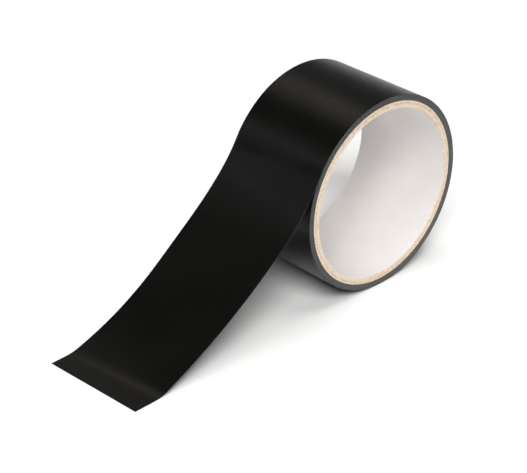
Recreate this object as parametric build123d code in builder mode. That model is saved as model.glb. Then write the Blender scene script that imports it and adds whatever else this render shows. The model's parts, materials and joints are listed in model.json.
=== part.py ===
from build123d import *
import math
import os

os.makedirs("parts", exist_ok=True)

# A roll of cloth-backed duct tape, standing on its edge with the loose end of
# the tape running down to the surface and stuck there by its last centimetre.
#
# Millimetres. The origin is the middle of the core's bore, +Y runs along the
# roll's axis, +Z is up, and the tape comes off towards -X.
#
# The tape is three layers, outside to inside: polyethylene film, a woven cloth
# scrim and a rubber adhesive. One continuous strip of it is modelled as four
# rigid lengths: the wound turns, the outermost turn, the loose tail and the
# stuck-down end. Where one length meets the next there is a bending line.

# ---------------------------------------------------------------- dimensions
WIDTH = 50.0              # tape and core width
CORE_BORE_R = 38.5        # bore radius of the cardboard core (77 mm, "3 inch")
CORE_OUT_R = 41.7         # outside radius of the core, a 3.2 mm wall
LINER_T = 0.25            # white paper that lines the bore
PLY_COUNT = 4             # kraft board plies wound over the liner
PLY_GAP = 0.005           # glue line between plies

FILM_T = 0.050            # polyethylene film, the outer face of the tape
SCRIM_T = 0.040           # cloth
ADHESIVE_T = 0.050        # rubber adhesive
LAYER_GAP = 0.002         # hairline between the layers and between the turns
TURNS = 17                # turns of tape below the outermost one
FIRST_TURN_GAP = 0.005    # between the core and the first turn
WRAP_CLEARANCE = 0.055    # between the wound turns and the outermost turn

PEEL_DEG = 147.7          # where the tape leaves the roll, from +X towards +Z
WRAP_START_DEG = 8.0      # the outermost turn starts this far under the tail
HINGE_GAP = 0.004         # hairline at the two bending lines

# The loose tail leaves the roll on its tangent and sags in four arcs that all
# bend upwards. It twists a little on the way down, so its near edge (-Y) and
# its far edge (+Y) each have their own radii, and the far edge reaches the
# surface further out. The last arc of each runs on until its top face is one
# tape's thickness above the surface.
TAIL_LENGTHS = [12.5, 24.3, 29.2]            # along the first three arcs
TAIL_NEAR_R = [258.6, 86.5, 336.6, 263.0]    # the four radii of the near edge
TAIL_FAR_R = [102.8, 124.1, 506.4, 146.8]    # and of the far edge

CUT_NEAR = (-139.8, -25.5)   # corners of the cut end
CUT_FAR = (-142.9, 24.0)

# ------------------------------------------------------------------- derived
HALF = WIDTH / 2
TAPE_T = FILM_T + SCRIM_T + ADHESIVE_T + 2 * LAYER_GAP
PITCH = TAPE_T + LAYER_GAP

# depth of each layer's two faces below the tape's outer face
FILM = (0.0, FILM_T)
SCRIM = (FILM_T + LAYER_GAP, FILM_T + LAYER_GAP + SCRIM_T)
ADHESIVE = (TAPE_T - ADHESIVE_T, TAPE_T)

# the outer face of the first wound turn starts here, on the peel line's radius
WOUND_FIRST_R = CORE_OUT_R + FIRST_TURN_GAP + TAPE_T
WOUND_OUT_R = WOUND_FIRST_R + TURNS * PITCH
ROLL_R = WOUND_OUT_R + WRAP_CLEARANCE + TAPE_T      # outside of the whole roll
FLOOR_Z = -ROLL_R

peel = math.radians(PEEL_DEG)
peel_dir = (math.cos(peel), math.sin(peel))

ply_t = (CORE_OUT_R - CORE_BORE_R - LINER_T - PLY_COUNT * PLY_GAP) / PLY_COUNT
ply_r = [CORE_BORE_R + LINER_T + PLY_GAP + i * (ply_t + PLY_GAP) for i in range(PLY_COUNT)]

# The wound strip is a spiral of exact half circles about two centres, a
# quarter of the pitch either side of the axis: every half turn is half a pitch
# larger than the one before, so each face is a true cylinder.
half_turns = []
for j in range(2 * TURNS):
    side = 1 if j % 2 else -1
    centre = (side * PITCH / 4 * peel_dir[0], side * PITCH / 4 * peel_dir[1])
    radius = WOUND_FIRST_R + PITCH / 4 + j * PITCH / 2
    half_turns.append((centre, radius, PEEL_DEG + 180.0 * j))

crease_z = FLOOR_Z + TAPE_T
hinge_x, hinge_z = ROLL_R * peel_dir[0], ROLL_R * peel_dir[1]


def tail_profile(radii):
    """One edge of the tail's outer face: each arc's curvature centre, radius,
    first heading and last heading. Headings are angles from +X towards +Z."""
    x, z, heading = hinge_x, hinge_z, peel + math.pi / 2
    arcs = []
    for radius, length in zip(radii, TAIL_LENGTHS + [None]):
        cx, cz = x + radius * math.sin(heading), z - radius * math.cos(heading)
        if length is None:
            last = 2 * math.pi - math.acos((crease_z - cz) / radius)
        else:
            last = heading - length / radius
        arcs.append((cx, cz, radius, heading, last))
        x, z, heading = cx - radius * math.sin(last), cz + radius * math.cos(last), last
    return arcs, x


tail_near, crease_near_x = tail_profile(TAIL_NEAR_R)
tail_far, crease_far_x = tail_profile(TAIL_FAR_R)
tail_length = sum(r * (a - b) for edge in (tail_near, tail_far) for _, _, r, a, b in edge) / 2


def tail_point(arc, angle, depth):
    """A point at this depth below the tail's outer face."""
    cx, cz, radius, _, _ = arc
    r = radius + depth
    return (cx - r * math.sin(angle), cz + r * math.cos(angle))


def spiral_side(depth):
    """Half circles of one face of the wound strip, for the open BuildLine."""
    for centre, radius, start in half_turns:
        CenterArc(centre, radius - depth, start, 180.0)


def tail_side(arcs, depth):
    """Arcs of one face of the tail at one edge, for the open BuildLine."""
    for arc in arcs:
        a, b = arc[3], arc[4]
        ThreePointArc(tail_point(arc, a, depth), tail_point(arc, (a + b) / 2, depth),
                      tail_point(arc, b, depth))


def radial(r, deg, centre=(0.0, 0.0)):
    a = math.radians(deg)
    return (centre[0] + r * math.cos(a), centre[1] + r * math.sin(a))


def spiral_ends(layer):
    """The two radial end faces of the wound strip."""
    first, last = half_turns[0], half_turns[-1]
    Line(radial(first[1] - layer[0], PEEL_DEG, first[0]), radial(first[1] - layer[1], PEEL_DEG, first[0]))
    Line(radial(last[1] - layer[0], PEEL_DEG, last[0]), radial(last[1] - layer[1], PEEL_DEG, last[0]))


def wrap_outline(layer):
    """The outermost turn: one turn, less the stretch left open under the tail."""
    a = PEEL_DEG + WRAP_START_DEG
    b = PEEL_DEG + 360.0 - math.degrees(HINGE_GAP / ROLL_R)
    CenterArc((0, 0), ROLL_R - layer[0], a, b - a)
    CenterArc((0, 0), ROLL_R - layer[1], a, b - a)
    Line(radial(ROLL_R - layer[0], a), radial(ROLL_R - layer[1], a))
    Line(radial(ROLL_R - layer[0], b), radial(ROLL_R - layer[1], b))


def tail_outline(arcs, layer):
    """The loose tail at one edge: both faces of one layer and its square ends."""
    tail_side(arcs, layer[0])
    tail_side(arcs, layer[1])
    first, last = arcs[0], arcs[-1]
    Line(tail_point(first, first[3], layer[0]), tail_point(first, first[3], layer[1]))
    Line(tail_point(last, last[4], layer[0]), tail_point(last, last[4], layer[1]))


# ------------------------------------------------------------------ the core
with BuildPart() as core_liner:
    with BuildSketch(Plane.XZ):
        Circle(CORE_BORE_R + LINER_T)
        Circle(CORE_BORE_R, mode=Mode.SUBTRACT)
    extrude(amount=HALF, both=True)
core_liner.part.label = "core_liner"
export_step(core_liner.part, "parts/core_liner.step")

with BuildPart() as core_ply_1:
    with BuildSketch(Plane.XZ):
        Circle(ply_r[0] + ply_t)
        Circle(ply_r[0], mode=Mode.SUBTRACT)
    extrude(amount=HALF, both=True)
core_ply_1.part.label = "core_ply_1"
export_step(core_ply_1.part, "parts/core_ply_1.step")

with BuildPart() as core_ply_2:
    with BuildSketch(Plane.XZ):
        Circle(ply_r[1] + ply_t)
        Circle(ply_r[1], mode=Mode.SUBTRACT)
    extrude(amount=HALF, both=True)
core_ply_2.part.label = "core_ply_2"
export_step(core_ply_2.part, "parts/core_ply_2.step")

with BuildPart() as core_ply_3:
    with BuildSketch(Plane.XZ):
        Circle(ply_r[2] + ply_t)
        Circle(ply_r[2], mode=Mode.SUBTRACT)
    extrude(amount=HALF, both=True)
core_ply_3.part.label = "core_ply_3"
export_step(core_ply_3.part, "parts/core_ply_3.step")

with BuildPart() as core_ply_4:
    with BuildSketch(Plane.XZ):
        Circle(ply_r[3] + ply_t)
        Circle(ply_r[3], mode=Mode.SUBTRACT)
    extrude(amount=HALF, both=True)
core_ply_4.part.label = "core_ply_4"
export_step(core_ply_4.part, "parts/core_ply_4.step")

# ----------------------------------------------------------- the wound turns
with BuildPart() as wound_film:
    with BuildSketch(Plane.XZ):
        with BuildLine():
            spiral_side(FILM[0])
            spiral_side(FILM[1])
            spiral_ends(FILM)
        make_face()
    extrude(amount=HALF, both=True)
wound_film.part.label = "wound_film"
export_step(wound_film.part, "parts/wound_film.step")

with BuildPart() as wound_scrim:
    with BuildSketch(Plane.XZ):
        with BuildLine():
            spiral_side(SCRIM[0])
            spiral_side(SCRIM[1])
            spiral_ends(SCRIM)
        make_face()
    extrude(amount=HALF, both=True)
wound_scrim.part.label = "wound_scrim"
export_step(wound_scrim.part, "parts/wound_scrim.step")

with BuildPart() as wound_adhesive:
    with BuildSketch(Plane.XZ):
        with BuildLine():
            spiral_side(ADHESIVE[0])
            spiral_side(ADHESIVE[1])
            spiral_ends(ADHESIVE)
        make_face()
    extrude(amount=HALF, both=True)
wound_adhesive.part.label = "wound_adhesive"
export_step(wound_adhesive.part, "parts/wound_adhesive.step")

# -------------------------------------------------------- the outermost turn
with BuildPart() as outer_wrap_film:
    with BuildSketch(Plane.XZ):
        with BuildLine():
            wrap_outline(FILM)
        make_face()
    extrude(amount=HALF, both=True)
outer_wrap_film.part.label = "outer_wrap_film"
export_step(outer_wrap_film.part, "parts/outer_wrap_film.step")

with BuildPart() as outer_wrap_scrim:
    with BuildSketch(Plane.XZ):
        with BuildLine():
            wrap_outline(SCRIM)
        make_face()
    extrude(amount=HALF, both=True)
outer_wrap_scrim.part.label = "outer_wrap_scrim"
export_step(outer_wrap_scrim.part, "parts/outer_wrap_scrim.step")

with BuildPart() as outer_wrap_adhesive:
    with BuildSketch(Plane.XZ):
        with BuildLine():
            wrap_outline(ADHESIVE)
        make_face()
    extrude(amount=HALF, both=True)
outer_wrap_adhesive.part.label = "outer_wrap_adhesive"
export_step(outer_wrap_adhesive.part, "parts/outer_wrap_adhesive.step")

# ------------------------------------------------------------ the loose tail
with BuildPart() as tail_film:
    with BuildSketch(Plane.XZ.offset(HALF)):
        with BuildLine():
            tail_outline(tail_near, FILM)
        make_face()
    with BuildSketch(Plane.XZ.offset(-HALF)):
        with BuildLine():
            tail_outline(tail_far, FILM)
        make_face()
    loft(ruled=True)
tail_film.part.label = "tail_film"
export_step(tail_film.part, "parts/tail_film.step")

with BuildPart() as tail_scrim:
    with BuildSketch(Plane.XZ.offset(HALF)):
        with BuildLine():
            tail_outline(tail_near, SCRIM)
        make_face()
    with BuildSketch(Plane.XZ.offset(-HALF)):
        with BuildLine():
            tail_outline(tail_far, SCRIM)
        make_face()
    loft(ruled=True)
tail_scrim.part.label = "tail_scrim"
export_step(tail_scrim.part, "parts/tail_scrim.step")

with BuildPart() as tail_adhesive:
    with BuildSketch(Plane.XZ.offset(HALF)):
        with BuildLine():
            tail_outline(tail_near, ADHESIVE)
        make_face()
    with BuildSketch(Plane.XZ.offset(-HALF)):
        with BuildLine():
            tail_outline(tail_far, ADHESIVE)
        make_face()
    loft(ruled=True)
tail_adhesive.part.label = "tail_adhesive"
export_step(tail_adhesive.part, "parts/tail_adhesive.step")

# ------------------------------------------------- the end, stuck down flat
# seen from above: it starts at the crease, which runs a few degrees off the
# roll's axis, and follows the tape on to the cut
tab_corners = [(crease_near_x - HINGE_GAP, -HALF), (crease_far_x - HINGE_GAP, HALF),
               CUT_FAR, CUT_NEAR]

with BuildPart() as end_tab_film:
    with BuildSketch(Plane.XY.offset(crease_z - FILM[1])):
        with BuildLine():
            Polyline(*tab_corners, close=True)
        make_face()
    extrude(amount=FILM[1] - FILM[0])
end_tab_film.part.label = "end_tab_film"
export_step(end_tab_film.part, "parts/end_tab_film.step")

with BuildPart() as end_tab_scrim:
    with BuildSketch(Plane.XY.offset(crease_z - SCRIM[1])):
        with BuildLine():
            Polyline(*tab_corners, close=True)
        make_face()
    extrude(amount=SCRIM[1] - SCRIM[0])
end_tab_scrim.part.label = "end_tab_scrim"
export_step(end_tab_scrim.part, "parts/end_tab_scrim.step")

with BuildPart() as end_tab_adhesive:
    with BuildSketch(Plane.XY.offset(crease_z - ADHESIVE[1])):
        with BuildLine():
            Polyline(*tab_corners, close=True)
        make_face()
    extrude(amount=ADHESIVE[1] - ADHESIVE[0])
end_tab_adhesive.part.label = "end_tab_adhesive"
export_step(end_tab_adhesive.part, "parts/end_tab_adhesive.step")

# ------------------------------------------------------------------- figures
wound_length = sum(math.pi * r for _, r, _ in half_turns)
wrap_length = math.radians(360.0) * ROLL_R
tab_length = (crease_near_x + crease_far_x - CUT_NEAR[0] - CUT_FAR[0]) / 2
print(f"tape {TAPE_T:.3f} thick, pitch {PITCH:.3f}, roll radius {ROLL_R:.3f}, wound radius {WOUND_OUT_R:.3f}")
print(f"peel line x {hinge_x:.4f} z {hinge_z:.4f}; crease near x {crease_near_x:.4f} far x {crease_far_x:.4f} "
      f"z {crease_z:.4f}; headings there {math.degrees(tail_near[-1][4]):.2f} {math.degrees(tail_far[-1][4]):.2f}")
print(f"lengths: wound {wound_length:.0f}, outermost turn {wrap_length:.0f}, tail {tail_length:.1f}, "
      f"end {tab_length:.1f}, all {(wound_length + wrap_length + tail_length + tab_length) / 1000:.3f} m")
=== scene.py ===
import json
import math

import bpy
import numpy as np
from mathutils import Matrix, Vector


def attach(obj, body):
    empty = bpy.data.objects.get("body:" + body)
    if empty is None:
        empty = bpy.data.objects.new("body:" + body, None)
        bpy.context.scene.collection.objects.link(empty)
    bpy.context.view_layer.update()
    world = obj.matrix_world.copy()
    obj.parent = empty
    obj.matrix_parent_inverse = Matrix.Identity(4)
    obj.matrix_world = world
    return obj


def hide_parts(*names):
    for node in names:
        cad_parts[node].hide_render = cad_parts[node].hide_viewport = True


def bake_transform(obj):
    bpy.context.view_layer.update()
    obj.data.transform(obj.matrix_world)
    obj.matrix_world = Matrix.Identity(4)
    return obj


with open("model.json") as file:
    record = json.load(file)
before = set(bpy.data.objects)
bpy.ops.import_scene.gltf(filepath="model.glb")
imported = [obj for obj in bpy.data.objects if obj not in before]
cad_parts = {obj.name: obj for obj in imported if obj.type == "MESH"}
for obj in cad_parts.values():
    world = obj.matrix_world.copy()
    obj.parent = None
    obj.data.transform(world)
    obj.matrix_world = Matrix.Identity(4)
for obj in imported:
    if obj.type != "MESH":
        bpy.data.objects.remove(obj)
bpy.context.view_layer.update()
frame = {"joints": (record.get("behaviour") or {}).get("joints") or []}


# The frame's own numbers, in millimetres. Positions are the CAD's.
MM = 0.001
HALF = 25.0
CORE_BORE_R = 38.5
LINER_OUT_R = 38.75
CORE_OUT_R = 41.7
TAPE_T = 0.144
PITCH = 0.146
TURNS = 17
WOUND_FIRST_R = CORE_OUT_R + 0.005 + TAPE_T
ROLL_R = 44.53
FLOOR_Z = -ROLL_R
PEEL_DEG = 147.7
WRAP_START_DEG = PEEL_DEG + 8.0
TAIL_LENGTHS = [12.5, 24.3, 29.2]
TAIL_NEAR_R = [258.6, 86.5, 336.6, 263.0]
TAIL_FAR_R = [102.8, 124.1, 506.4, 146.8]
CUT_NEAR = (-139.8, -25.5)
CUT_FAR = (-142.9, 24.0)
CREASE_Z = FLOOR_Z + TAPE_T

joints = {j["name"]: j for j in frame["joints"]}
rng = np.random.default_rng(7)


# ------------------------------------------------------------------ camera
def make_camera():
    az, el = math.radians(-43.461), math.radians(29.777)
    dist, x0, y0, f_px = 760.704, 33.925, 27.113, 1751.347
    right = np.array([math.cos(az), math.sin(az), 0.0])
    up = np.array([-math.sin(az) * math.sin(el), math.cos(az) * math.sin(el), math.cos(el)])
    back = np.array([math.sin(az) * math.cos(el), -math.cos(az) * math.cos(el), math.sin(el)])
    place = (-x0 * right - y0 * up + dist * back) * MM
    data = bpy.data.cameras.new("camera")
    data.sensor_fit = "HORIZONTAL"
    data.sensor_width = 36.0
    data.lens = f_px * 36.0 / 527.0
    data.clip_start = 0.01
    data.clip_end = 50.0
    cam = bpy.data.objects.new("camera", data)
    m = Matrix.Identity(4)
    for i in range(3):
        m[i][0], m[i][1], m[i][2], m[i][3] = right[i], up[i], back[i], place[i]
    cam.matrix_world = m
    bpy.context.scene.collection.objects.link(cam)
    bpy.context.scene.camera = cam
    return cam


camera = make_camera()


# ---------------------------------------------------------------- node help
class Nodes:
    """A short way to write a material's node tree."""

    def __init__(self, name):
        self.mat = bpy.data.materials.new(name)
        self.mat.use_nodes = True
        self.tree = self.mat.node_tree
        self.tree.nodes.clear()
        self.out = self.tree.nodes.new("ShaderNodeOutputMaterial")
        self.bsdf = self.tree.nodes.new("ShaderNodeBsdfPrincipled")
        self.link(self.bsdf.outputs[0], self.out.inputs["Surface"])

    def link(self, a, b):
        self.tree.links.new(a, b)

    def new(self, kind, **props):
        n = self.tree.nodes.new(kind)
        for k, v in props.items():
            setattr(n, k, v)
        return n

    def feed(self, socket, value):
        if isinstance(value, bpy.types.NodeSocket):
            self.link(value, socket)
        else:
            socket.default_value = value

    def math(self, op, a, b=None, c=None, clamp=False):
        n = self.new("ShaderNodeMath", operation=op, use_clamp=clamp)
        self.feed(n.inputs[0], a)
        if b is not None:
            self.feed(n.inputs[1], b)
        if c is not None:
            self.feed(n.inputs[2], c)
        return n.outputs[0]

    def uv(self, name="UVMap"):
        n = self.new("ShaderNodeUVMap", uv_map=name)
        s = self.new("ShaderNodeSeparateXYZ")
        self.link(n.outputs[0], s.inputs[0])
        return n.outputs[0], s.outputs[0], s.outputs[1]

    def attr(self, name):
        return self.new("ShaderNodeAttribute", attribute_name=name, attribute_type="GEOMETRY").outputs["Fac"]

    def coords(self):
        return self.new("ShaderNodeTexCoord").outputs["Object"]

    def scaled(self, vector, scale):
        n = self.new("ShaderNodeVectorMath", operation="MULTIPLY")
        self.feed(n.inputs[0], vector)
        n.inputs[1].default_value = scale
        return n.outputs[0]

    def noise(self, vector, scale, detail=3.0, rough=0.55, distortion=0.0):
        n = self.new("ShaderNodeTexNoise")
        self.feed(n.inputs["Vector"], vector)
        n.inputs["Scale"].default_value = scale
        n.inputs["Detail"].default_value = detail
        n.inputs["Roughness"].default_value = rough
        n.inputs["Distortion"].default_value = distortion
        return n.outputs["Fac"]

    def map(self, value, a, b, c, d, smooth=False):
        n = self.new("ShaderNodeMapRange", interpolation_type="SMOOTHSTEP" if smooth else "LINEAR")
        self.feed(n.inputs["Value"], value)
        for name, x in (("From Min", a), ("From Max", b), ("To Min", c), ("To Max", d)):
            n.inputs[name].default_value = x
        return n.outputs["Result"]

    def mix(self, fac, a, b):
        n = self.new("ShaderNodeMix", data_type="RGBA")
        self.feed(n.inputs["Factor"], fac)
        ca, cb = [s for s in n.inputs if s.type == "RGBA"][:2]
        self.feed(ca, a if isinstance(a, bpy.types.NodeSocket) else (*a, 1.0))
        self.feed(cb, b if isinstance(b, bpy.types.NodeSocket) else (*b, 1.0))
        return [s for s in n.outputs if s.type == "RGBA"][0]

    def bump(self, height, strength, distance, normal=None):
        n = self.new("ShaderNodeBump")
        n.inputs["Strength"].default_value = strength
        n.inputs["Distance"].default_value = distance
        self.feed(n.inputs["Height"], height)
        if normal is not None:
            self.link(normal, n.inputs["Normal"])
        return n.outputs["Normal"]

    def set(self, **values):
        names = {"color": "Base Color", "rough": "Roughness", "metal": "Metallic", "normal": "Normal",
                 "spec": "Specular IOR Level", "ior": "IOR", "sheen": "Sheen Weight",
                 "sheen_rough": "Sheen Roughness", "coat": "Coat Weight", "coat_rough": "Coat Roughness"}
        for k, v in values.items():
            s = self.bsdf.inputs[names[k]]
            if k == "color" and not isinstance(v, bpy.types.NodeSocket):
                v = (*v, 1.0)
            self.feed(s, v)
        return self.mat


# ---------------------------------------------------------------- materials
def thread(n, across, pitch):
    """1 on the crown of a thread, 0 between threads; across is in millimetres."""
    t = n.math("MULTIPLY", across, 2.0 * math.pi / pitch)
    return n.math("MULTIPLY_ADD", n.math("COSINE", t), 0.5, 0.5)


def film_material():
    """Black polyethylene film with the cloth below it showing through as a faint weave in its bumps; the weave's
    crowns are painted a little lighter, a painted sheen.
    """
    n = Nodes("tape_film_black")
    vec, u, v = n.uv()                      # millimetres along and across the tape
    wander = n.noise(vec, 0.12, 2.0, 0.5)
    wob = n.math("MULTIPLY_ADD", wander, 0.7, -0.35)
    warp = thread(n, n.math("ADD", v, wob), 1.10)
    weft = thread(n, n.math("ADD", u, n.math("MULTIPLY", wob, 1.7)), 1.55)
    # the film lies in the mesh's squares and is carried along its diagonal
    slant = n.math("SUBTRACT", n.math("MULTIPLY", u, 0.55), n.math("MULTIPLY", v, 0.835))
    diag = thread(n, n.math("ADD", slant, n.math("MULTIPLY", wob, 0.6)), 1.12)
    weave = n.math("ADD", n.math("MULTIPLY", warp, 0.30), n.math("MULTIPLY", weft, 0.22))
    weave = n.math("ADD", weave, n.math("MULTIPLY", diag, 1.0))
    patch = n.map(n.noise(vec, 0.045, 3.0, 0.6), 0.35, 0.65, 0.70, 1.0, True)
    weave = n.math("MULTIPLY", weave, patch)
    grain = n.noise(vec, 3.2, 4.0, 0.6)
    fine = n.math("ADD", weave, n.math("MULTIPLY", grain, 0.55))
    normal = n.bump(fine, 1.0, 0.000042)
    cloudy = n.noise(vec, 0.035, 4.0, 0.55)
    color = n.mix(n.map(cloudy, 0.3, 0.7, 0.0, 1.0, True), (0.0006, 0.0006, 0.0004), (0.0014, 0.0014, 0.0010))
    # painted sheen: the crowns of the diagonal threads get a lighter colour that stands in for the light they catch;
    # their lower roughness below is real
    crown = n.math("MULTIPLY", diag, patch)
    color = n.mix(crown, color, (0.0030, 0.0030, 0.0026))
    even = n.math("ADD", n.math("MULTIPLY", cloudy, 0.5), n.math("MULTIPLY", grain, 0.5))
    rough = n.math("SUBTRACT", n.map(even, 0.3, 0.7, 0.31, 0.37), n.math("MULTIPLY", crown, 0.06))
    return n.set(color=color, rough=rough, normal=normal, spec=0.25)


def tape_edge_material():
    """The cut side of the tape: black film, pale cloth threads, grey adhesive, layer by layer."""
    n = Nodes("tape_cut_edge")
    layer = n.attr("layer")                 # 0 at the film's face, 1 at the adhesive's face
    turn = n.attr("turn")
    around = n.attr("around")               # millimetres along the strip
    comb = n.new("ShaderNodeCombineXYZ")
    n.feed(comb.inputs[0], n.math("MULTIPLY", around, 0.25))
    n.feed(comb.inputs[1], n.math("MULTIPLY", turn, 3.7))
    streak = n.noise(comb.outputs[0], 1.0, 3.0, 0.6)
    comb2 = n.new("ShaderNodeCombineXYZ")
    n.feed(comb2.inputs[0], n.math("MULTIPLY", around, 1.0 / 40.0))
    n.feed(comb2.inputs[1], n.math("MULTIPLY", turn, 0.41))
    slow = n.noise(comb2.outputs[0], 1.0, 2.0, 0.5)
    is_film = n.map(layer, 0.28, 0.42, 1.0, 0.0)
    grey = n.mix(n.map(streak, 0.25, 0.75, 0.0, 1.0), (0.100, 0.100, 0.103), (0.175, 0.175, 0.179))
    grey = n.mix(n.map(slow, 0.3, 0.7, 0.0, 0.6), grey, (0.075, 0.075, 0.077))
    color = n.mix(is_film, grey, (0.035, 0.035, 0.036))
    bump = n.bump(streak, 0.4, 0.00003)
    return n.set(color=color, rough=0.62, normal=bump, spec=0.30)


def adhesive_material():
    """The grey rubber adhesive side, with the cloth's grid of threads showing through."""
    n = Nodes("tape_adhesive_grey")
    vec, u, v = n.uv()
    wander = n.noise(vec, 0.12, 2.0, 0.5)
    wob = n.math("MULTIPLY_ADD", wander, 0.7, -0.35)
    warp = n.math("POWER", thread(n, n.math("ADD", v, wob), 1.10), 3.0)
    weft = n.math("POWER", thread(n, n.math("ADD", u, n.math("MULTIPLY", wob, 1.7)), 1.55), 3.0)
    cloth = n.math("MAXIMUM", warp, n.math("MULTIPLY", weft, 0.85))
    lumps = n.noise(vec, 0.8, 4.0, 0.6)
    color = n.mix(n.math("MULTIPLY", cloth, 0.8), (0.075, 0.076, 0.078), (0.135, 0.136, 0.138))
    color = n.mix(n.map(lumps, 0.35, 0.7, 0.0, 0.35), color, (0.050, 0.050, 0.052))
    height = n.math("ADD", n.math("MULTIPLY", cloth, 0.7), n.math("MULTIPLY", lumps, 0.6))
    return n.set(color=color, rough=n.map(lumps, 0.3, 0.7, 0.42, 0.58),
                 normal=n.bump(height, 0.5, 0.00004), spec=0.3)


def board_material():
    """Pale kraft board: cut plies and loose fibres on the ends."""
    n = Nodes("kraft_board")
    co = n.coords()
    sep = n.new("ShaderNodeSeparateXYZ")
    n.link(co, sep.inputs[0])
    x, y, z = sep.outputs
    radius = n.math("SQRT", n.math("ADD", n.math("MULTIPLY", x, x), n.math("MULTIPLY", z, z)))
    r_mm = n.math("MULTIPLY", radius, 1000.0)
    angle = n.math("ARCTAN2", z, x)
    comb = n.new("ShaderNodeCombineXYZ")    # fibres lie along the ring
    n.feed(comb.inputs[0], n.math("MULTIPLY", n.math("COSINE", angle), 14.0))
    n.feed(comb.inputs[1], n.math("MULTIPLY", n.math("SINE", angle), 14.0))
    n.feed(comb.inputs[2], n.math("MULTIPLY", r_mm, 3.2))
    fibre = n.noise(comb.outputs[0], 1.9, 5.0, 0.66)
    mottle = n.noise(co, 900.0, 4.0, 0.6)
    specks = n.map(n.noise(co, 1300.0, 2.0, 0.5), 0.60, 0.70, 0.0, 1.0)
    wavy = n.math("MULTIPLY_ADD", n.noise(co, 260.0, 3.0, 0.6), 0.9, -0.45)
    depth = n.math("ADD", n.math("SUBTRACT", CORE_OUT_R, r_mm), wavy)
    skin = n.map(depth, 0.35, 0.75, 1.0, 0.0, True)
    seam = n.math("MULTIPLY", n.map(depth, 0.55, 0.90, 0.0, 1.0, True), n.map(depth, 1.0, 1.55, 1.0, 0.0, True))
    broken = n.map(n.noise(co, 620.0, 3.0, 0.65), 0.42, 0.60, 0.15, 1.0, True)
    seam = n.math("MULTIPLY", seam, broken)
    ply = n.math("SUBTRACT", r_mm, LINER_OUT_R)
    ply = n.math("PINGPONG", ply, 0.3688)
    ply_line = n.map(ply, 0.0, 0.10, 1.0, 0.0)
    base = n.mix(n.map(fibre, 0.3, 0.7, 0.0, 1.0), (0.65, 0.500, 0.372), (0.88, 0.752, 0.618))
    base = n.mix(n.map(mottle, 0.38, 0.68, 0.0, 0.5), base, (0.88, 0.79, 0.69))
    base = n.mix(n.math("MULTIPLY", skin, 0.75), base, (0.84, 0.70, 0.50))
    base = n.mix(n.math("MULTIPLY", seam, 0.70), base, (0.56, 0.375, 0.235))
    base = n.mix(n.math("MULTIPLY", specks, 0.60), base, (0.42, 0.28, 0.17))
    base = n.mix(n.math("MULTIPLY", ply_line, 0.18), base, (0.55, 0.40, 0.27))
    inner = n.math("ADD", n.math("SUBTRACT", r_mm, LINER_OUT_R), n.math("MULTIPLY_ADD", n.noise(co, 420.0, 4.0, 0.7), 2.4, -1.2))
    frayed = n.map(inner, -0.25, 0.12, 1.0, 0.0, True)    # where the paper's edge is smeared over the board
    base = n.mix(n.math("MULTIPLY", frayed, 0.75), base, (0.80, 0.765, 0.735))
    tan = n.math("MULTIPLY", n.map(n.noise(co, 95.0, 2.0, 0.5), 0.50, 0.62, 0.0, 1.0, True),
                 n.map(n.noise(co, 700.0, 3.0, 0.7), 0.50, 0.62, 0.0, 1.0, True))
    base = n.mix(n.math("MULTIPLY", tan, 0.60), base, (0.60, 0.42, 0.27))
    height = n.math("ADD", n.math("MULTIPLY", fibre, 0.8), n.math("MULTIPLY", mottle, 0.5))
    height = n.math("SUBTRACT", height, n.math("MULTIPLY", ply_line, 0.35))
    return n.set(color=base, rough=0.88, normal=n.bump(height, 0.7, 0.00012), spec=0.25,
                 sheen=0.15, sheen_rough=0.5)


def liner_material():
    """Smooth white paper that lines the bore."""
    n = Nodes("liner_paper_white")
    co = n.coords()
    cloud = n.noise(co, 45.0, 4.0, 0.6)
    fibre = n.noise(n.scaled(co, (1.0, 2.2, 1.0)), 1700.0, 4.0, 0.62)
    color = n.mix(n.map(cloud, 0.3, 0.7, 0.0, 1.0), (0.765, 0.732, 0.722), (0.818, 0.790, 0.783))
    color = n.mix(n.map(fibre, 0.35, 0.7, 0.0, 0.25), color, (0.690, 0.655, 0.630))
    height = n.math("ADD", fibre, n.math("MULTIPLY", cloud, 0.8))
    return n.set(color=color, rough=0.62, normal=n.bump(height, 0.25, 0.00003), spec=0.35)


FILM = film_material()
EDGE = tape_edge_material()
ADHESIVE = adhesive_material()
BOARD = board_material()
LINER = liner_material()


# ------------------------------------------------------------------- meshes
def mesh_object(name, verts, faces, materials, face_mats=None, uvs=None, attrs=None, flat=None):
    """verts in millimetres; uvs one pair per vertex, in millimetres; flat is a mask of hard faces."""
    me = bpy.data.meshes.new(name)
    me.from_pydata([tuple(v) for v in np.asarray(verts, float) * MM], [], [tuple(int(i) for i in f) for f in faces])
    for m in materials:
        me.materials.append(m)
    if face_mats is not None:
        me.polygons.foreach_set("material_index", np.asarray(face_mats, np.int32))
    me.polygons.foreach_set("use_smooth", np.ones(len(me.polygons), bool))
    if flat is not None:
        me.polygons.foreach_set("use_smooth", ~np.asarray(flat, bool))
    if uvs is not None:
        layer = me.uv_layers.new(name="UVMap")
        loops = np.zeros(len(me.loops), np.int32)
        me.loops.foreach_get("vertex_index", loops)
        layer.data.foreach_set("uv", np.asarray(uvs, np.float32)[loops].ravel())
    for key, values in (attrs or {}).items():
        a = me.attributes.new(key, "FLOAT", "POINT")
        a.data.foreach_set("value", np.asarray(values, np.float32))
    me.validate()
    me.update()
    ob = bpy.data.objects.new(name, me)
    bpy.context.scene.collection.objects.link(ob)
    return ob


def smooth_noise(n_points, waves, seed, lo=1):
    """A smooth periodic random curve, about -1 to 1, from a few sine waves."""
    r = np.random.default_rng(seed)
    t = np.linspace(0, 2 * math.pi, n_points, endpoint=False)
    out = np.zeros(n_points)
    total = 0.0
    for k in range(lo, lo + waves):
        a = r.normal() / math.sqrt(k - lo + 1)
        out += a * np.sin(k * t + r.uniform(0, 2 * math.pi))
        total += abs(a)
    return out / max(total * 0.6, 1e-9)


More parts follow.
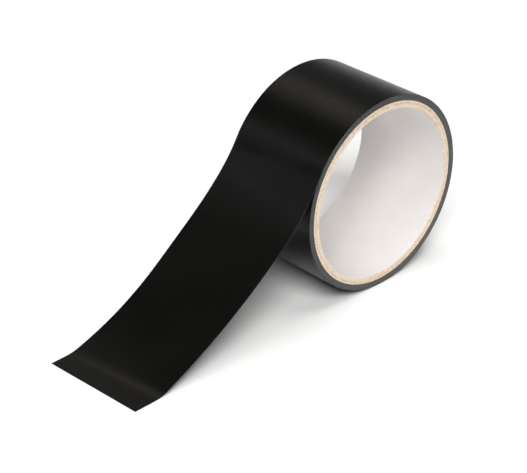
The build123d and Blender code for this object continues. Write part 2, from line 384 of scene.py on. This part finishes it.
def tube(name, rings, material, segments, uvs=False):
    """A closed ring solid of revolution about Y. rings(k, angle array) gives the
    section's points in order, each as (radius array, y array)."""
    ang = np.linspace(0, 2 * math.pi, segments, endpoint=False)
    section = rings(ang)
    m = len(section)
    verts = np.zeros((segments, m, 3))
    for j, (r, y) in enumerate(section):
        verts[:, j, 0] = r * np.cos(ang)
        verts[:, j, 1] = y
        verts[:, j, 2] = r * np.sin(ang)
    faces = []
    for i in range(segments):
        k = (i + 1) % segments
        for j in range(m):
            l = (j + 1) % m
            faces.append((i * m + j, i * m + l, k * m + l, k * m + j))
    return mesh_object(name, verts.reshape(-1, 3), faces, [material])


def fix_normals(ob, sharp_deg=None):
    import bmesh
    bm = bmesh.new()
    bm.from_mesh(ob.data)
    bmesh.ops.recalc_face_normals(bm, faces=bm.faces)
    if sharp_deg is not None:
        lim = math.radians(sharp_deg)
        for e in bm.edges:
            if len(e.link_faces) == 2 and e.calc_face_angle(0.0) > lim:
                e.smooth = False
    bm.to_mesh(ob.data)
    bm.free()
    ob.data.update()
    return ob


# the paper liner: its ends are trimmed with the core and stand a little ragged
SEG = 720


def ragged(seed, depth):
    coarse = smooth_noise(SEG, 14, seed)
    fine = smooth_noise(SEG, 120, seed + 1, lo=30)
    tiny = smooth_noise(SEG, 240, seed + 2, lo=90)
    return depth * (0.5 + 0.22 * coarse + 0.30 * fine + 0.22 * tiny).clip(0.02, 1.6)


near_trim, far_trim = ragged(11, 0.52), ragged(21, 0.52)
# a torn notch low on the right and a longer chafed stretch above it, as on the photographed core
turn_deg = (np.linspace(0, 360, SEG, endpoint=False) + 180.0) % 360.0 - 180.0
near_trim = near_trim + 0.80 * np.exp(-((turn_deg + 30.0) / 3.2) ** 2) \
    + 1.30 * np.exp(-((turn_deg - 43.0) / 10.0) ** 2) * (0.75 + 0.35 * smooth_noise(SEG, 110, 51, lo=30)).clip(0.2, 1.3) \
    + 0.45 * np.exp(-((turn_deg - 8.0) / 9.0) ** 2)
near_curl, far_curl = 0.20 * smooth_noise(SEG, 90, 31, lo=6), 0.20 * smooth_noise(SEG, 90, 32, lo=6)
dents = 0.035 * smooth_noise(SEG, 7, 33, lo=2)


def liner_rings(ang):
    out = []
    ys = np.concatenate([np.linspace(0, 1, 4) * 1.2, np.linspace(2.4, 47.6, 24), 50 - np.linspace(1, 0, 4) * 1.2])
    for y in ys:                                  # inner face, near to far
        f = y / 50.0
        yy = -HALF + near_trim + (50.0 - near_trim - far_trim) * f
        edge_n, edge_f = max(0.0, 1 - y / 1.2), max(0.0, 1 - (50 - y) / 1.2)
        r = CORE_BORE_R + 0.02 + dents * math.sin(math.pi * f) \
            + edge_n * (0.05 + 0.4 * near_curl) + edge_f * (0.05 + 0.4 * far_curl)
        out.append((r, yy))
    for y in ys[::-1]:                            # outer face, far to near
        f = y / 50.0
        yy = -HALF + near_trim + (50.0 - near_trim - far_trim) * f
        out.append((np.full(len(ang), LINER_OUT_R - 0.005), yy))
    return out


liner = tube("liner_paper", liner_rings, LINER, SEG)
fix_normals(liner, 50)
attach(liner, "roll")
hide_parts("core_liner")


# the board: four plies, each cut a hair differently, with a torn inner lip
def board_rings(ang):
    ply_t = 0.7325
    profile = []                                  # (radius, depth of the end face below +-HALF)
    for p in range(4):
        a = LINER_OUT_R + 0.005 + p * (ply_t + 0.005)
        b = a + ply_t
        lift = 0.05 * smooth_noise(SEG, 30, 50 + p, lo=3) + 0.05
        grain = [0.035 * smooth_noise(SEG, 160, 60 + 5 * p + q, lo=40) for q in range(4)]
        profile.append((np.full(SEG, a + 0.02), lift + 0.11 + grain[0]))
        for q, f in enumerate((0.15, 0.38, 0.62, 0.85)):
            profile.append((np.full(SEG, a + f * ply_t), (lift + 0.02 + grain[q]).clip(0.0, 0.4)))
        profile.append((np.full(SEG, b - 0.02), lift + 0.11 + grain[3]))
    profile[0] = (np.full(SEG, LINER_OUT_R + 0.005), 0.30 + 0.16 * smooth_noise(SEG, 120, 90, lo=25))
    profile[-1] = (np.full(SEG, CORE_OUT_R - 0.01), profile[-1][1] + 0.08)
    near = [(r, -HALF + np.asarray(d).clip(0.0, 0.8)) for r, d in profile]
    shift = SEG // 3
    far = [(r, HALF - np.roll(np.asarray(d), shift).clip(0.0, 0.8)) for r, d in profile]
    inner = [(np.full(SEG, LINER_OUT_R + 0.005), np.full(SEG, y)) for y in (20.0, 7.0, -7.0, -20.0)]
    outer = [(np.full(SEG, CORE_OUT_R - 0.01), np.full(SEG, y)) for y in (-20.0, -7.0, 7.0, 20.0)]
    return near + outer + far[::-1] + inner


board = tube("core_board", board_rings, BOARD, SEG)
fix_normals(board, 60)
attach(board, "roll")
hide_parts("core_ply_1", "core_ply_2", "core_ply_3", "core_ply_4")


# ------------------------------------------------------------ the wound tape
def wound_tape():
    """Seventeen turns of the strip, as one closed spiral: film outside, adhesive inside."""
    step = 1.25                                    # degrees
    per = int(round(180.0 / step))
    rows = []
    half = 2 * TURNS
    for j in range(half):
        side = 1 if j % 2 else -1
        cx = side * PITCH / 4 * math.cos(math.radians(PEEL_DEG))
        cz = side * PITCH / 4 * math.sin(math.radians(PEEL_DEG))
        r = WOUND_FIRST_R + PITCH / 4 + j * PITCH / 2
        for i in range(per + (1 if j == half - 1 else 0)):
            rows.append((cx, cz, r, PEEL_DEG + 180.0 * j + step * i))
    rows = np.array(rows)
    n = len(rows)
    ang = np.radians(rows[:, 3])
    ca, sa = np.cos(ang), np.sin(ang)
    turn = (rows[:, 3] - PEEL_DEG) / 360.0
    s = np.concatenate([[0], np.cumsum(0.5 * (rows[1:, 2] + rows[:-1, 2]) * np.radians(step))])
    # every turn lies a hair to one side of the last, and wanders as it goes round
    r2 = np.random.default_rng(5)
    knots = np.linspace(0, TURNS, TURNS * 7 + 1)

    def wander(scale):
        return np.interp(turn, knots, r2.normal(0, scale, len(knots)))

    drift = 0.055 * np.sin(turn * 2.1 + 0.6) + wander(0.022)
    # the first turns sit back from the end of the core, the last ones are pressed flush
    sink = 0.16 * np.exp(-turn / 0.55) + 0.03
    near_y = -HALF + np.clip(sink + drift * 0.5 + 0.03, 0.0, 0.4)
    far_y = HALF - np.clip(sink - drift * 0.5 + 0.03, 0.0, 0.4)
    # section: depth below the film's face, layer value, which side
    prof = []
    for k, (d, inset) in enumerate(((0.004, 0.022), (0.022, 0.004), (0.055, 0.006), (0.075, 0.018),
                                    (0.100, 0.004), (0.126, 0.006), (0.141, 0.024))):
        prof.append((d, inset))
    ring = []
    for d, inset in prof:
        ring.append((d, near_y + inset))
    for y in (-15.0, 0.0, 15.0):
        ring.append((0.143, np.full(n, y)))
    for d, inset in prof[::-1]:
        ring.append((d, far_y - inset))
    for y in (15.0, 0.0, -15.0):
        ring.append((0.001, np.full(n, y)))
    m = len(ring)
    verts = np.zeros((n, m, 3))
    layer = np.zeros((n, m))
    uv = np.zeros((n, m, 2))
    for k, (d, y) in enumerate(ring):
        rr = rows[:, 2] - d
        verts[:, k, 0] = rows[:, 0] + rr * ca
        verts[:, k, 1] = y
        verts[:, k, 2] = rows[:, 1] + rr * sa
        layer[:, k] = d / TAPE_T
        uv[:, k, 0] = s
        uv[:, k, 1] = y
    faces, mats = [], []
    for i in range(n - 1):
        for k in range(m):
            l = (k + 1) % m
            faces.append((i * m + k, i * m + l, (i + 1) * m + l, (i + 1) * m + k))
            if k < 6 or 10 <= k < 16:
                mats.append(1)
            elif k < 10:
                mats.append(2)
            else:
                mats.append(0)
    faces.append(tuple(range(m)))
    faces.append(tuple((n - 1) * m + k for k in range(m - 1, -1, -1)))
    mats += [1, 1]
    flat = np.zeros(len(faces), bool)
    flat[-2:] = True
    ob = mesh_object("wound_tape", verts.reshape(-1, 3), faces, [FILM, EDGE, ADHESIVE], mats, uv.reshape(-1, 2),
                     {"layer": layer.ravel(), "turn": np.repeat(turn, m), "around": np.repeat(s, m)}, flat)
    return fix_normals(ob, 70)


wound = wound_tape()
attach(wound, "roll")
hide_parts("wound_film", "wound_scrim", "wound_adhesive")


# ------------------------------------------------- the outermost turn and tail
# The strip from the start of the outermost turn to the cut end, as rulings:
# each row has a near-edge point, a far-edge point, the direction out of the
# film's face at each, and its place along the tape.
def arc_rows(radii, far):
    x, z = ROLL_R * math.cos(math.radians(PEEL_DEG)), ROLL_R * math.sin(math.radians(PEEL_DEG))
    heading = math.radians(PEEL_DEG) + math.pi / 2
    arcs = []
    for radius, length in zip(radii, TAIL_LENGTHS + [None]):
        cx, cz = x + radius * math.sin(heading), z - radius * math.cos(heading)
        last = (2 * math.pi - math.acos((CREASE_Z - cz) / radius)) if length is None else heading - length / radius
        arcs.append((cx, cz, radius, heading, last))
        x, z, heading = cx - radius * math.sin(last), cz + radius * math.cos(last), last
    return arcs, x


NEAR_ARCS, CREASE_NEAR_X = arc_rows(TAIL_NEAR_R, False)
FAR_ARCS, CREASE_FAR_X = arc_rows(TAIL_FAR_R, True)


def strip_rows():
    rows = []                                     # part, near p, far p, near out, far out, s near, s far
    step = 0.5
    a, b = math.radians(WRAP_START_DEG), math.radians(PEEL_DEG + 360.0)
    count = int((b - a) * ROLL_R / step)
    s0 = -(b - a) * ROLL_R
    for i in range(count):
        t = a + (b - a) * i / count
        p = np.array([ROLL_R * math.cos(t), ROLL_R * math.sin(t)])
        o = np.array([math.cos(t), math.sin(t)])
        s = s0 + (t - a) * ROLL_R
        rows.append(["wrap", p, p, o, o, s, s])
    sn = sf = 0.0
    for j in range(4):
        an, af = NEAR_ARCS[j], FAR_ARCS[j]
        ln, lf = an[2] * (an[3] - an[4]), af[2] * (af[3] - af[4])
        count = max(4, int(round((ln + lf) / 2 / step)))
        for i in range(count + (1 if j == 3 else 0)):
            f = i / count
            item = []
            for arc in (an, af):
                h = arc[3] + (arc[4] - arc[3]) * f
                item.append((np.array([arc[0] - arc[2] * math.sin(h), arc[1] + arc[2] * math.cos(h)]),
                             np.array([math.sin(h), -math.cos(h)])))
            rows.append(["tail", item[0][0], item[1][0], item[0][1], item[1][1], sn + ln * f, sf + lf * f])
        sn, sf = sn + ln, sf + lf
    return rows, sn, sf


ROWS, S_NEAR, S_FAR = strip_rows()
CROSS = 34                                        # columns across the tape
V = np.linspace(0.0, 1.0, CROSS + 1)


def edge_y(s_mean):
    """The tail swings a little to the near side as it comes down."""
    f = min(max(s_mean / 118.0, 0.0), 1.0)
    return -HALF - 0.30 * f * f, HALF - 0.80 * f * f


def step(x):
    x = np.clip(x, 0.0, 1.0)
    return x * x * (3 - 2 * x)


def peel_marks(s, v):
    """The low swell and the dip after it that pulling the tape off leaves at the peel line,
    deepest towards the two sides, and the slight twist further down."""
    y = (v - 0.5) * 50.0
    deep = 0.30 + np.exp(-((y - 17.0) / 10.0) ** 2) + np.exp(-((y + 17.5) / 7.5) ** 2)
    place = 2.4 + 0.075 * y
    swell = 0.13 * step((s + 13.0) / 12.0)
    drop = 0.29 * step((s - place + 2.8) / 5.6)
    h = deep * (swell - drop)
    h += 0.17 * np.exp(-((s - 31.0 + 0.12 * y) / 8.0) ** 2) * np.exp(-((y + 4.0) / 12.0) ** 2)
    h = h * step((36.0 - s) / 26.0) * step((s + 14.5) / 4.0)
    return h + 0.010 * y * step((s - 18.0) / 18.0) * step((104.0 - s) / 60.0)


def ripple(s, v):
    """How far the film's face stands off its ruling, in millimetres, where it is loose."""
    fade = np.clip(s / 14.0, 0, 1) ** 2 * (3 - 2 * np.clip(s / 14.0, 0, 1))
    end = np.clip((112.0 - s) / 16.0, 0, 1)
    y = (v - 0.5) * 50.0
    w = 0.10 * np.sin(s / 4.6 + 0.045 * y + 0.8) * np.exp(-((s - 16.0) / 14.0) ** 2)
    w += 0.07 * np.sin(s / 7.9 - 0.06 * y + 2.0) * np.exp(-((s - 45.0) / 26.0) ** 2)
    w += 0.05 * np.sin(s / 11.0 + 0.09 * y)
    w += 0.05 * np.sin(y / 8.5 + s / 30.0) * np.clip(s / 30.0, 0, 1)
    return w * fade * end


def build_strip(name, points, outs, s_near, s_far, mats):
    """A closed thin strip. points and outs are (rows, CROSS + 1, 3) arrays on the film's face."""
    n, m = points.shape[:2]
    inner = points - outs * TAPE_T
    s = s_near[:, None] * (1 - V)[None, :] + s_far[:, None] * V[None, :]
    y = np.broadcast_to(((V - 0.5) * 50.0)[None, :], (n, m))
    mid = [0.35, 0.65]
    blocks = [points.reshape(-1, 3), inner.reshape(-1, 3)]
    uvs = [np.stack([s, y], -1).reshape(-1, 2)] * 2
    layer = [np.zeros(n * m), np.ones(n * m)]
    around = [s.ravel(), s.ravel()]
    # two more lines of points along each side and each end, so that the edge shows its layers
    rim = [(i, 0) for i in range(n)] + [(n - 1, j) for j in range(1, m)] \
        + [(i, m - 1) for i in range(n - 2, -1, -1)] + [(0, j) for j in range(m - 2, 0, -1)]
    k = len(rim)
    idx = np.array([i * m + j for i, j in rim])
    outward = np.zeros((k, 3))
    pts = points.reshape(-1, 3)
    for q, (i, j) in enumerate(rim):
        d = np.zeros(3)
        if j == 0:
            d += points[i, 0] - points[i, 1]
        if j == m - 1:
            d += points[i, m - 1] - points[i, m - 2]
        outward[q] = d / (np.linalg.norm(d) + 1e-12)
    for f, bulge in ((0.38, 0.010), (0.62, 0.004)):
        base = pts[idx] * (1 - f) + inner.reshape(-1, 3)[idx] * f
        blocks.append(base + outward * bulge)
        uvs.append(uvs[0][idx])
        layer.append(np.full(k, f))
        around.append(around[0][idx])
    verts = np.concatenate(blocks)
    faces, fm = [], []
    for i in range(n - 1):
        for j in range(m - 1):
            a, b, c, d = i * m + j, i * m + j + 1, (i + 1) * m + j + 1, (i + 1) * m + j
            faces.append((a, b, c, d))
            fm.append(0)
            faces.append((n * m + a, n * m + d, n * m + c, n * m + b))
            fm.append(2)
    lines = [idx, 2 * n * m + np.arange(k), 2 * n * m + k + np.arange(k), n * m + idx]
    for up, down in zip(lines[:-1], lines[1:]):
        for q in range(k):
            p = (q + 1) % k
            faces.append((up[q], up[p], down[p], down[q]))
            fm.append(1)
    total = len(verts)
    ob = mesh_object(name, verts, faces, mats, fm, np.concatenate(uvs),
                     {"layer": np.concatenate(layer), "turn": np.full(total, 20.0), "around": np.concatenate(around)})
    return fix_normals(ob, 40)


def rows_to_grid(rows):
    n = len(rows)
    pts = np.zeros((n, CROSS + 1, 3))
    outs = np.zeros((n, CROSS + 1, 3))
    s_n = np.array([r[5] for r in rows])
    s_f = np.array([r[6] for r in rows])
    for i, (part, pn, pf, on, of, sn, sf) in enumerate(rows):
        yn, yf = edge_y((sn + sf) / 2) if part == "tail" else (-HALF, HALF)
        a = np.array([pn[0], yn, pn[1]])
        b = np.array([pf[0], yf, pf[1]])
        oa = np.array([on[0], 0.0, on[1]])
        ob = np.array([of[0], 0.0, of[1]])
        pts[i] = a[None, :] * (1 - V)[:, None] + b[None, :] * V[:, None]
        outs[i] = oa[None, :] * (1 - V)[:, None] + ob[None, :] * V[:, None]
        outs[i] /= np.linalg.norm(outs[i], axis=1)[:, None]
        s = sn * (1 - V) + sf * V
        if part == "tail":
            pts[i] += outs[i] * ripple(s, V)[:, None]
        pts[i] += outs[i] * peel_marks(s, V)[:, None]
    return pts, outs, s_n, s_f


wrap_rows = [r for r in ROWS if r[0] == "wrap"]
tail_rows = [r for r in ROWS if r[0] == "tail"]
SEAM = 30                                         # rows of the tail piece that lie on the roll
LAST = [i for i, r in enumerate(tail_rows) if (r[5] + r[6]) / 2 < 97.0][-1]

# the outward direction of the tail's film face points away from the roll
pts, outs, s_n, s_f = rows_to_grid(wrap_rows[: len(wrap_rows) - SEAM + 1])
outer_wrap = build_strip("outer_wrap_tape", pts, outs, s_n, s_f, [FILM, EDGE, ADHESIVE])
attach(outer_wrap, "outer_wrap")
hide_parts("outer_wrap_film", "outer_wrap_scrim", "outer_wrap_adhesive")

pts, outs, s_n, s_f = rows_to_grid(wrap_rows[len(wrap_rows) - SEAM:] + tail_rows[: LAST + 1])
tail = build_strip("tail_tape", pts, outs, s_n, s_f, [FILM, EDGE, ADHESIVE])
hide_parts("tail_film", "tail_scrim", "tail_adhesive")
px, py, pz = joints["tail_lift"]["pos_m"]
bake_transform(tail)

# the last stretch: down to the crease, then flat on the surface to the cut
pts, outs, s_n, s_f = rows_to_grid(tail_rows[LAST:])
tab_rows = 24
crease_n, crease_f = pts[-1, 0].copy(), pts[-1, -1].copy()
cut_n, cut_f = np.array([CUT_NEAR[0], CUT_NEAR[1], CREASE_Z]), np.array([CUT_FAR[0], CUT_FAR[1], CREASE_Z])
tab_p, tab_o, tab_sn, tab_sf = [], [], [], []
for i in range(1, tab_rows + 1):
    f = i / tab_rows
    a, b = crease_n * (1 - f) + cut_n * f, crease_f * (1 - f) + cut_f * f
    line = a[None, :] * (1 - V)[:, None] + b[None, :] * V[:, None]
    tab_p.append(line)
    tab_o.append(np.tile([0.0, 0.0, 1.0], (CROSS + 1, 1)))
    tab_sn.append(s_n[-1] + np.linalg.norm(a - crease_n))
    tab_sf.append(s_f[-1] + np.linalg.norm(b - crease_f))
pts = np.concatenate([pts, np.array(tab_p)])
outs = np.concatenate([outs, np.array(tab_o)])
s_n, s_f = np.concatenate([s_n, tab_sn]), np.concatenate([s_f, tab_sf])


def soften(grid, row, half):
    """Rounds the fold across the tape at this row, over this many rows to each side."""
    weights = half + 1.0 - np.abs(np.arange(-half, half + 1))
    weights /= weights.sum()
    out = grid.copy()
    for i in range(half, len(grid) - half):
        w = step(1.8 - abs(i - row) / half)
        out[i] = grid[i] * (1 - w) + np.tensordot(weights, grid[i - half: i + half + 1], 1) * w
    return out


crease_row = len(pts) - tab_rows - 1
pts, outs = soften(pts, crease_row, 9), soften(outs, crease_row, 9)
outs /= np.linalg.norm(outs, axis=2)[:, :, None]
end_piece = build_strip("tail_end_tape", pts, outs, s_n, s_f, [FILM, EDGE, ADHESIVE])
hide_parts("end_tab_film", "end_tab_scrim", "end_tab_adhesive")
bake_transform(end_piece)


# --------------------------------------------------------------- the studio
def add_floor():
    me = bpy.data.meshes.new("studio_floor")
    s = 8.0
    z = FLOOR_Z * MM - 0.00002
    me.from_pydata([(-s, -s, z), (s, -s, z), (s, s, z), (-s, s, z)], [], [(0, 1, 2, 3)])
    n = Nodes("studio_floor_white")
    n.set(color=(0.93, 0.93, 0.93), rough=0.9, spec=0.1)
    me.materials.append(n.mat)
    ob = bpy.data.objects.new("studio_floor", me)
    bpy.context.scene.collection.objects.link(ob)


def place_light(name, data, place, target, across=(1, 0, 0)):
    ob = bpy.data.objects.new(name, data)
    z = (Vector(place) - Vector(target)).normalized()
    x = Vector(across)
    x = (x - x.dot(z) * z).normalized()
    y = z.cross(x)
    m = Matrix.Identity(4)
    for i in range(3):
        m[i][0], m[i][1], m[i][2], m[i][3] = x[i], y[i], z[i], place[i]
    ob.matrix_world = m
    bpy.context.scene.collection.objects.link(ob)
    return ob


def soft_box(name, place, target, size, size_y, power, color, across=(1, 0, 0)):
    """A soft box at place, facing target, with its size measured along across."""
    data = bpy.data.lights.new(name, "AREA")
    data.energy = power
    data.color = color
    data.shape = "RECTANGLE"
    data.size = size
    data.size_y = size_y
    return place_light(name, data, place, target, across)


def broad_light(name, direction, spread_deg, strength, color):
    """A wide even light from one direction, the same all over the floor."""
    data = bpy.data.lights.new(name, "SUN")
    data.energy = strength
    data.color = color
    data.angle = math.radians(spread_deg)
    return place_light(name, data, tuple(2.0 * Vector(direction).normalized()), (0, 0, 0))


add_floor()


def add_world():
    """A dim room with a bright low band behind and to the right, as a white sweep gives."""
    world = bpy.data.worlds.new("studio_world")
    bpy.context.scene.world = world
    world.use_nodes = True
    t = world.node_tree
    t.nodes.clear()
    out = t.nodes.new("ShaderNodeOutputWorld")
    bg = t.nodes.new("ShaderNodeBackground")
    t.links.new(bg.outputs[0], out.inputs["Surface"])
    co = t.nodes.new("ShaderNodeTexCoord")
    sep = t.nodes.new("ShaderNodeSeparateXYZ")
    t.links.new(co.outputs["Generated"], sep.inputs[0])

    def ramp(socket, stops):
        r = t.nodes.new("ShaderNodeValToRGB")
        r.color_ramp.interpolation = "EASE"
        el = r.color_ramp.elements
        while len(el) > 1:
            el.remove(el[-1])
        el[0].position, el[0].color = stops[0][0], (*[stops[0][1]] * 3, 1)
        for p, v in stops[1:]:
            e = el.new(p)
            e.color = (v, v, v, 1)
        t.links.new(socket, r.inputs[0])
        return r.outputs[0]

    low = ramp(sep.outputs[2], [(0.0, 0.27), (0.06, 0.22), (0.30, 0.21), (0.52, 0.15), (0.70, 0.10)])
    value = low
    for axis, lo, hi, least in ((0, 0.10, 0.62, 0.22), (1, -0.10, 0.35, 0.35)):
        side = t.nodes.new("ShaderNodeMapRange")
        side.interpolation_type = "SMOOTHSTEP"
        t.links.new(sep.outputs[axis], side.inputs["Value"])
        for name, x in (("From Min", lo), ("From Max", hi), ("To Min", least), ("To Max", 1.0)):
            side.inputs[name].default_value = x
        mul = t.nodes.new("ShaderNodeMath")
        mul.operation = "MULTIPLY"
        t.links.new(value, mul.inputs[0])
        t.links.new(side.outputs["Result"], mul.inputs[1])
        value = mul.outputs[0]
    band = ramp(sep.outputs[2], [(0.0, 0.80), (0.012, 0.80), (0.035, 0.0)])
    top = t.nodes.new("ShaderNodeMath")
    top.operation = "MAXIMUM"
    t.links.new(value, top.inputs[0])
    t.links.new(band, top.inputs[1])
    t.links.new(top.outputs[0], bg.inputs["Strength"])
    bg.inputs["Color"].default_value = (1.0, 0.985, 0.975, 1.0)


add_world()


def along(origin, direction, distance):
    d = Vector(direction).normalized()
    return tuple(Vector(origin) + d * distance)


# the key, high on the left of the camera, and two soft boxes behind the roll
broad_light("key", (-0.45, -0.53, 0.72), 30.0, 2.65, (1.0, 0.995, 0.985))
broad_light("top", (0.10, -0.06, 1.0), 34.0, 1.40, (1.0, 0.995, 0.99))
soft_box("box_back", along((0, 0, 0.044), (0.17, 0.63, 0.76), 1.0), (0, 0, 0.044), 0.36, 0.32, 0.56, (1.0, 0.93, 0.84))
soft_box("box_left", along((-0.042, 0, 0.02), (-0.585, 0.63, 0.50), 0.8), (-0.042, 0, 0.02), 0.23, 0.45, 0.27,
         (1.0, 0.99, 0.98), across=(-0.27, 0.0, -0.306))

bpy.context.scene.view_settings.view_transform = "Standard"
